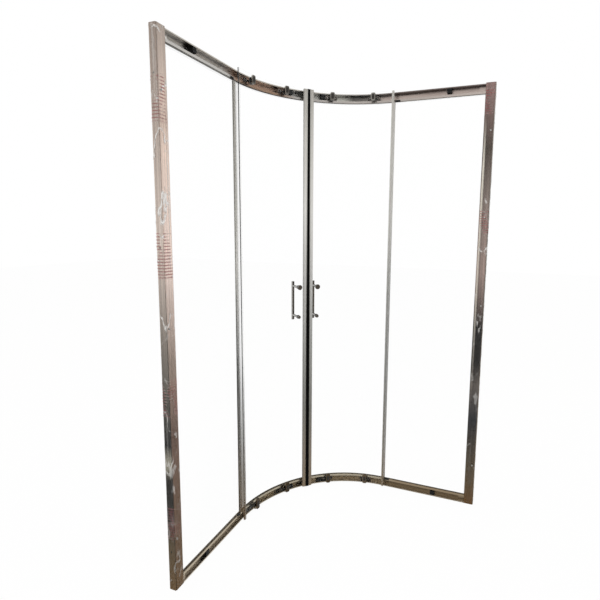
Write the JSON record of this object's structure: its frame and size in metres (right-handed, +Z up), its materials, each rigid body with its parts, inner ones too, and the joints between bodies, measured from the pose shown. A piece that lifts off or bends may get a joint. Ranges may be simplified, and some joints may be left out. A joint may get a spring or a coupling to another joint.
{
  "type": "shower cabin",
  "caption": "Quarter-round corner shower cabin: flat fixed panes, curved glass doors on rollers between bent rails, wall posts, bar handles.",
  "frame": {"origin": "centre of the bounding box's base, on the floor", "axes": "+Z up; the corner of the room is at (+X, -Y); the left pane stands on -X, the right pane on +Y, and the curved doors face (-X, +Y)"},
  "size_m": [1, 1, 1.95],
  "materials": {
    "profile_aluminium": "satin",
    "post_aluminium": "gloss",
    "rail_aluminium": "polished",
    "clear_glass": "polished",
    "seal_grey": "satin",
    "magnet_black": "satin",
    "carrier_grey": "satin",
    "handle_chrome": "polished",
    "hanger_metal": "satin",
    "cap_chrome": "polished",
    "screw_steel": "satin",
    "gasket_rubber": "matte",
    "truck_plastic": "satin",
    "wheel_nylon": "satin",
    "black_plastic": "satin"
  },
  "bodies": {
    "frame": {"top_rail": "rail_aluminium", "bottom_rail": "rail_aluminium", "glass_clips": "black_plastic", "rail_stops": "black_plastic", "rail_screws": "screw_steel", "jamb_screws": "screw_steel", "left_wall_profile": "profile_aluminium", "left_jamb": "post_aluminium", "left_fixed_glass": "clear_glass", "left_fixed_seal": "seal_grey", "right_wall_profile": "profile_aluminium", "right_jamb": "post_aluminium", "right_fixed_glass": "clear_glass", "right_fixed_seal": "seal_grey"},
    "left_door": {"left_door_glass": "clear_glass", "left_magnet_strip": "magnet_black", "left_magnet_carrier": "carrier_grey", "left_trailing_seal": "seal_grey", "left_handle_bar": "handle_chrome", "left_handle_posts": "handle_chrome", "left_handle_knobs": "handle_chrome", "left_hangers": "hanger_metal", "left_hanger_caps": "cap_chrome", "left_hanger_bolts": "screw_steel", "left_glass_gaskets": "gasket_rubber"},
    "left_trailing_top_truck": {"left_trailing_top_truck": "truck_plastic"},
    "left_trailing_top_front_wheel": {"left_trailing_top_front_wheel": "wheel_nylon"},
    "left_trailing_top_rear_wheel": {"left_trailing_top_rear_wheel": "wheel_nylon"},
    "left_trailing_bottom_truck": {"left_trailing_bottom_truck": "truck_plastic"},
    "left_trailing_bottom_front_wheel": {"left_trailing_bottom_front_wheel": "wheel_nylon"},
    "left_trailing_bottom_rear_wheel": {"left_trailing_bottom_rear_wheel": "wheel_nylon"},
    "left_leading_top_truck": {"left_leading_top_truck": "truck_plastic"},
    "left_leading_top_front_wheel": {"left_leading_top_front_wheel": "wheel_nylon"},
    "left_leading_top_rear_wheel": {"left_leading_top_rear_wheel": "wheel_nylon"},
    "left_leading_bottom_truck": {"left_leading_bottom_truck": "truck_plastic"},
    "left_leading_bottom_front_wheel": {"left_leading_bottom_front_wheel": "wheel_nylon"},
    "left_leading_bottom_rear_wheel": {"left_leading_bottom_rear_wheel": "wheel_nylon"},
    "right_door": {"right_door_glass": "clear_glass", "right_magnet_strip": "magnet_black", "right_magnet_carrier": "carrier_grey", "right_trailing_seal": "seal_grey", "right_handle_bar": "handle_chrome", "right_handle_posts": "handle_chrome", "right_handle_knobs": "handle_chrome", "right_hangers": "hanger_metal", "right_hanger_caps": "cap_chrome", "right_hanger_bolts": "screw_steel", "right_glass_gaskets": "gasket_rubber"},
    "right_trailing_top_truck": {"right_trailing_top_truck": "truck_plastic"},
    "right_trailing_top_front_wheel": {"right_trailing_top_front_wheel": "wheel_nylon"},
    "right_trailing_top_rear_wheel": {"right_trailing_top_rear_wheel": "wheel_nylon"},
    "right_trailing_bottom_truck": {"right_trailing_bottom_truck": "truck_plastic"},
    "right_trailing_bottom_front_wheel": {"right_trailing_bottom_front_wheel": "wheel_nylon"},
    "right_trailing_bottom_rear_wheel": {"right_trailing_bottom_rear_wheel": "wheel_nylon"},
    "right_leading_top_truck": {"right_leading_top_truck": "truck_plastic"},
    "right_leading_top_front_wheel": {"right_leading_top_front_wheel": "wheel_nylon"},
    "right_leading_top_rear_wheel": {"right_leading_top_rear_wheel": "wheel_nylon"},
    "right_leading_bottom_truck": {"right_leading_bottom_truck": "truck_plastic"},
    "right_leading_bottom_front_wheel": {"right_leading_bottom_front_wheel": "wheel_nylon"},
    "right_leading_bottom_rear_wheel": {"right_leading_bottom_rear_wheel": "wheel_nylon"}
  },
  "joints": [
    {"name": "left_door_travel", "type": "hinge", "parent": "frame", "child": "left_door", "pos_m": [0.36071, -0.13394, 0.975], "axis": [0, 0, 1], "range_deg": [0, 21]},
    {"name": "left_trailing_top_swivel", "type": "hinge", "parent": "left_door", "child": "left_trailing_top_truck", "pos_m": [-0.45619, 0.03925, 1.925], "axis": [0, 0, 1], "range_deg": [-11.5, 0.5]},
    {"name": "left_trailing_top_front_roll", "type": "hinge", "parent": "left_trailing_top_truck", "child": "left_trailing_top_front_wheel", "pos_m": [-0.46459, 0.05901, 1.925], "axis": [0.9848, -0.1736, 0], "continuous": true},
    {"name": "left_trailing_top_rear_roll", "type": "hinge", "parent": "left_trailing_top_truck", "child": "left_trailing_top_rear_wheel", "pos_m": [-0.47084, 0.02356, 1.925], "axis": [0.9848, -0.1736, 0], "continuous": true},
    {"name": "left_trailing_bottom_swivel", "type": "hinge", "parent": "left_door", "child": "left_trailing_bottom_truck", "pos_m": [-0.45619, 0.03925, 0.021], "axis": [0, 0, 1], "range_deg": [-11.5, 0.5]},
    {"name": "left_trailing_bottom_front_roll", "type": "hinge", "parent": "left_trailing_bottom_truck", "child": "left_trailing_bottom_front_wheel", "pos_m": [-0.46459, 0.05901, 0.021], "axis": [0.9848, -0.1736, 0], "continuous": true},
    {"name": "left_trailing_bottom_rear_roll", "type": "hinge", "parent": "left_trailing_bottom_truck", "child": "left_trailing_bottom_rear_wheel", "pos_m": [-0.47084, 0.02356, 0.021], "axis": [0.9848, -0.1736, 0], "continuous": true},
    {"name": "left_leading_top_swivel", "type": "hinge", "parent": "left_door", "child": "left_leading_top_truck", "pos_m": [-0.3859, 0.22238, 1.925], "axis": [0, 0, 1], "range_deg": [-0.5, 11.5]},
    {"name": "left_leading_top_front_roll", "type": "hinge", "parent": "left_leading_top_truck", "child": "left_leading_top_front_wheel", "pos_m": [-0.38628, 0.24384, 1.925], "axis": [0.848, -0.5299, 0], "continuous": true},
    {"name": "left_leading_top_rear_roll", "type": "hinge", "parent": "left_leading_top_truck", "child": "left_leading_top_rear_wheel", "pos_m": [-0.40536, 0.21331, 1.925], "axis": [0.848, -0.5299, 0], "continuous": true},
    {"name": "left_leading_bottom_swivel", "type": "hinge", "parent": "left_door", "child": "left_leading_bottom_truck", "pos_m": [-0.3859, 0.22238, 0.021], "axis": [0, 0, 1], "range_deg": [-0.5, 11.5]},
    {"name": "left_leading_bottom_front_roll", "type": "hinge", "parent": "left_leading_bottom_truck", "child": "left_leading_bottom_front_wheel", "pos_m": [-0.38628, 0.24384, 0.021], "axis": [0.848, -0.5299, 0], "continuous": true},
    {"name": "left_leading_bottom_rear_roll", "type": "hinge", "parent": "left_leading_bottom_truck", "child": "left_leading_bottom_rear_wheel", "pos_m": [-0.40536, 0.21331, 0.021], "axis": [0.848, -0.5299, 0], "continuous": true},
    {"name": "right_door_travel", "type": "hinge", "parent": "frame", "child": "right_door", "pos_m": [0.13394, -0.36071, 0.975], "axis": [0, 0, -1], "range_deg": [0, 21]},
    {"name": "right_trailing_top_swivel", "type": "hinge", "parent": "right_door", "child": "right_trailing_top_truck", "pos_m": [-0.03925, 0.45619, 1.925], "axis": [0, 0, -1], "range_deg": [-11.5, 0.5]},
    {"name": "right_trailing_top_front_roll", "type": "hinge", "parent": "right_trailing_top_truck", "child": "right_trailing_top_front_wheel", "pos_m": [-0.05901, 0.46459, 1.925], "axis": [0.1736, -0.9848, 0], "continuous": true},
    {"name": "right_trailing_top_rear_roll", "type": "hinge", "parent": "right_trailing_top_truck", "child": "right_trailing_top_rear_wheel", "pos_m": [-0.02356, 0.47084, 1.925], "axis": [0.1736, -0.9848, 0], "continuous": true},
    {"name": "right_trailing_bottom_swivel", "type": "hinge", "parent": "right_door", "child": "right_trailing_bottom_truck", "pos_m": [-0.03925, 0.45619, 0.021], "axis": [0, 0, -1], "range_deg": [-11.5, 0.5]},
    {"name": "right_trailing_bottom_front_roll", "type": "hinge", "parent": "right_trailing_bottom_truck", "child": "right_trailing_bottom_front_wheel", "pos_m": [-0.05901, 0.46459, 0.021], "axis": [0.1736, -0.9848, 0], "continuous": true},
    {"name": "right_trailing_bottom_rear_roll", "type": "hinge", "parent": "right_trailing_bottom_truck", "child": "right_trailing_bottom_rear_wheel", "pos_m": [-0.02356, 0.47084, 0.021], "axis": [0.1736, -0.9848, 0], "continuous": true},
    {"name": "right_leading_top_swivel", "type": "hinge", "parent": "right_door", "child": "right_leading_top_truck", "pos_m": [-0.22238, 0.3859, 1.925], "axis": [0, 0, -1], "range_deg": [-0.5, 11.5]},
    {"name": "right_leading_top_front_roll", "type": "hinge", "parent": "right_leading_top_truck", "child": "right_leading_top_front_wheel", "pos_m": [-0.24384, 0.38628, 1.925], "axis": [0.5299, -0.848, 0], "continuous": true},
    {"name": "right_leading_top_rear_roll", "type": "hinge", "parent": "right_leading_top_truck", "child": "right_leading_top_rear_wheel", "pos_m": [-0.21331, 0.40536, 1.925], "axis": [0.5299, -0.848, 0], "continuous": true},
    {"name": "right_leading_bottom_swivel", "type": "hinge", "parent": "right_door", "child": "right_leading_bottom_truck", "pos_m": [-0.22238, 0.3859, 0.021], "axis": [0, 0, -1], "range_deg": [-0.5, 11.5]},
    {"name": "right_leading_bottom_front_roll", "type": "hinge", "parent": "right_leading_bottom_truck", "child": "right_leading_bottom_front_wheel", "pos_m": [-0.24384, 0.38628, 0.021], "axis": [0.5299, -0.848, 0], "continuous": true},
    {"name": "right_leading_bottom_rear_roll", "type": "hinge", "parent": "right_leading_bottom_truck", "child": "right_leading_bottom_rear_wheel", "pos_m": [-0.21331, 0.40536, 0.021], "axis": [0.5299, -0.848, 0], "continuous": true}
  ],
  "couplings": [
    {"joint": "left_trailing_top_swivel", "follows": "left_door_travel", "ratio": -0.52381},
    {"joint": "left_trailing_top_front_roll", "follows": "left_door_travel", "ratio": 78.043},
    {"joint": "left_trailing_top_rear_roll", "follows": "left_door_travel", "ratio": 78.043},
    {"joint": "left_trailing_bottom_swivel", "follows": "left_door_travel", "ratio": -0.52381},
    {"joint": "left_trailing_bottom_front_roll", "follows": "left_door_travel", "ratio": -78.043},
    {"joint": "left_trailing_bottom_rear_roll", "follows": "left_door_travel", "ratio": -78.043},
    {"joint": "left_leading_top_swivel", "follows": "left_door_travel", "ratio": 0.52381},
    {"joint": "left_leading_top_front_roll", "follows": "left_door_travel", "ratio": 77.316},
    {"joint": "left_leading_top_rear_roll", "follows": "left_door_travel", "ratio": 77.316},
    {"joint": "left_leading_bottom_swivel", "follows": "left_door_travel", "ratio": 0.52381},
    {"joint": "left_leading_bottom_front_roll", "follows": "left_door_travel", "ratio": -77.316},
    {"joint": "left_leading_bottom_rear_roll", "follows": "left_door_travel", "ratio": -77.316},
    {"joint": "right_trailing_top_swivel", "follows": "right_door_travel", "ratio": -0.52381},
    {"joint": "right_trailing_top_front_roll", "follows": "right_door_travel", "ratio": -78.043},
    {"joint": "right_trailing_top_rear_roll", "follows": "right_door_travel", "ratio": -78.043},
    {"joint": "right_trailing_bottom_swivel", "follows": "right_door_travel", "ratio": -0.52381},
    {"joint": "right_trailing_bottom_front_roll", "follows": "right_door_travel", "ratio": 78.043},
    {"joint": "right_trailing_bottom_rear_roll", "follows": "right_door_travel", "ratio": 78.043},
    {"joint": "right_leading_top_swivel", "follows": "right_door_travel", "ratio": 0.52381},
    {"joint": "right_leading_top_front_roll", "follows": "right_door_travel", "ratio": -77.316},
    {"joint": "right_leading_top_rear_roll", "follows": "right_door_travel", "ratio": -77.316},
    {"joint": "right_leading_bottom_swivel", "follows": "right_door_travel", "ratio": 0.52381},
    {"joint": "right_leading_bottom_front_roll", "follows": "right_door_travel", "ratio": 77.316},
    {"joint": "right_leading_bottom_rear_roll", "follows": "right_door_travel", "ratio": 77.316}
  ]
}
